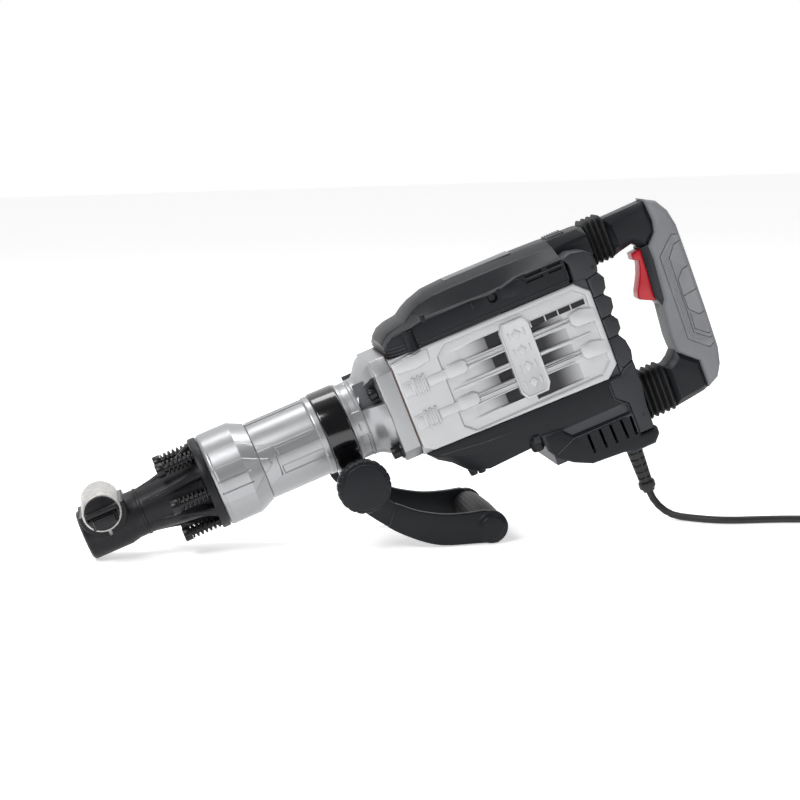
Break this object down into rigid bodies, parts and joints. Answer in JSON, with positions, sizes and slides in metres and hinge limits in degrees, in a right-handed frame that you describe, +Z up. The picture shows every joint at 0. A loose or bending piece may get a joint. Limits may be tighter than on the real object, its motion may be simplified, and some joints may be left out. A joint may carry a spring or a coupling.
{
  "type": "electric jackhammer",
  "caption": "Mains-powered jackhammer with a barrel and sprung nose, a vented motor body, a closed rear handle with trigger and a swinging side handle on a clamp band.",
  "frame": {"origin": "on the floor, under the middle of the hammer's box without its cord", "axes": "+X from the nose towards the rear handle, +Y away from the clamping knob's side, +Z up; the barrel slopes 20.2 degrees, nose down"},
  "size_m": [0.9174, 0.1624, 0.3458],
  "materials": {
    "cast_black": "rough cast, blackened",
    "cast_grey": "as cast",
    "bright_steel": "ground",
    "gear_steel": "hardened, oiled",
    "copper_winding": "lacquered winding on a steel core",
    "brass": "brass tube",
    "silver_paint": "satin silver paint on cast aluminium",
    "pale_panel": "satin pale silver paint",
    "black_plastic": "fine textured glass-filled plastic",
    "dark_grey_plastic": "fine textured plastic",
    "soft_grey": "soft overmould",
    "rubber": "matt black rubber",
    "red_plastic": "satin red",
    "gloss_black": "gloss black"
  },
  "bodies": {
    "housing": {"front_collar": "silver_paint", "barrel": "silver_paint", "cylinder_sleeve": "bright_steel", "head_bolt_1": "bright_steel", "head_bolt_2": "bright_steel", "head_bolt_3": "bright_steel", "head_bolt_4": "bright_steel", "head_bolt_5": "bright_steel", "head_bolt_6": "bright_steel", "head_spring_1": "gear_steel", "head_spring_2": "gear_steel", "head_spring_3": "gear_steel", "head_spring_4": "gear_steel", "head_spring_5": "gear_steel", "head_spring_6": "gear_steel", "gearbox_head": "silver_paint", "crankcase": "cast_grey", "motor_housing": "dark_grey_plastic", "bearing_plate": "cast_grey", "side_panel_near": "pale_panel", "side_panel_far": "pale_panel", "upper_cover": "black_plastic", "lower_cover": "black_plastic", "rear_cover": "dark_grey_plastic", "guide_pin_top": "bright_steel", "guide_pin_low": "bright_steel", "bellows_top": "rubber", "bellows_low": "rubber", "stator": "gear_steel", "armature_bearing": "bright_steel", "brush_holder_near": "brass", "brush_holder_far": "brass", "strain_relief": "rubber", "power_cord": "rubber", "cord_coil": "rubber", "plug": "rubber"},
    "nose": {"tool_holder": "cast_black"},
    "retainer": {"retainer_pin": "cast_grey", "retainer_lever": "cast_black"},
    "impact_bolt": {"impact_bolt": "bright_steel"},
    "striker": {"striker": "bright_steel"},
    "piston": {"piston": "bright_steel"},
    "crank": {"crankshaft": "gear_steel", "crank_gear": "gear_steel"},
    "connecting_rod": {"connecting_rod": "gear_steel"},
    "intermediate": {"intermediate_gear": "gear_steel"},
    "armature": {"armature": "copper_winding", "motor_pinion": "gear_steel", "fan": "black_plastic"},
    "band": {"clamp_band": "gloss_black", "clamp_bolt": "bright_steel"},
    "knob": {"clamp_knob": "black_plastic"},
    "side_handle": {"handle_arm_near": "black_plastic", "handle_arm_far": "black_plastic", "side_grip": "rubber"},
    "rear_handle": {"rear_handle": "black_plastic", "grip_pad": "soft_grey", "switch_block": "dark_grey_plastic"},
    "trigger": {"trigger": "red_plastic"}
  },
  "joints": [
    {"name": "nose_slide", "type": "slide", "parent": "housing", "child": "nose", "axis": [-0.9383, 0, -0.3458], "range_m": [0, 0.003], "stiffness_N_per_m": 20000, "springref_m": -0.002, "deforming": ["head_spring_1", "head_spring_2", "head_spring_3", "head_spring_4", "head_spring_5", "head_spring_6"]},
    {"name": "retainer_turn", "type": "hinge", "parent": "nose", "child": "retainer", "pos_m": [-0.32282, 0.00515, 0.05404], "axis": [0, -1, 0], "range_deg": [0, 180]},
    {"name": "impact_bolt_slide", "type": "slide", "parent": "housing", "child": "impact_bolt", "axis": [0.9383, 0, 0.3458], "range_m": [0, 0.012]},
    {"name": "striker_slide", "type": "slide", "parent": "housing", "child": "striker", "axis": [0.9383, 0, 0.3458], "range_m": [0, 0.028]},
    {"name": "piston_slide", "type": "slide", "parent": "housing", "child": "piston", "axis": [0.9383, 0, 0.3458], "range_m": [0, 0.028]},
    {"name": "crank_spin", "type": "hinge", "parent": "housing", "child": "crank", "pos_m": [0.07652, 0.00515, 0.17778], "axis": [-0.3458, 0, 0.9383], "continuous": true},
    {"name": "rod_swing", "type": "hinge", "parent": "crank", "child": "connecting_rod", "pos_m": [0.06339, 0.00515, 0.17294], "axis": [-0.3458, 0, 0.9383], "continuous": true},
    {"name": "intermediate_spin", "type": "hinge", "parent": "housing", "child": "intermediate", "pos_m": [0.11593, 0.00515, 0.19231], "axis": [-0.3458, 0, 0.9383], "continuous": true},
    {"name": "armature_spin", "type": "hinge", "parent": "housing", "child": "armature", "pos_m": [0.15675, 0.00515, 0.20735], "axis": [-0.3458, 0, 0.9383], "continuous": true},
    {"name": "band_turn", "type": "hinge", "parent": "housing", "child": "band", "pos_m": [-0.07876, 0.00515, 0.12055], "axis": [0.9383, 0, 0.3458], "range_deg": [-180, 180]},
    {"name": "handle_swing", "type": "hinge", "parent": "band", "child": "side_handle", "pos_m": [-0.06017, 0.00515, 0.07155], "axis": [0, 1, 0], "range_deg": [-10, 95]},
    {"name": "knob_spin", "type": "hinge", "parent": "band", "child": "knob", "pos_m": [-0.06017, 0.00515, 0.07155], "axis": [0, 1, 0], "continuous": true},
    {"name": "handle_slide", "type": "slide", "parent": "housing", "child": "rear_handle", "axis": [0.9383, 0, 0.3458], "range_m": [-0.004, 0.004], "stiffness_N_per_m": 12000, "deforming": ["bellows_top", "bellows_low"]},
    {"name": "trigger_pull", "type": "hinge", "parent": "rear_handle", "child": "trigger", "pos_m": [0.26726, 0.00515, 0.29498], "axis": [0, -1, 0], "range_deg": [0, 8], "stiffness_Nm_per_rad": 1, "springref_deg": -5.73}
  ],
  "couplings": [
    {"joint": "rod_swing", "follows": "crank_spin", "ratio": -1},
    {"joint": "intermediate_spin", "follows": "crank_spin", "ratio": -3.6667},
    {"joint": "armature_spin", "follows": "crank_spin", "ratio": 17.6}
  ]
}
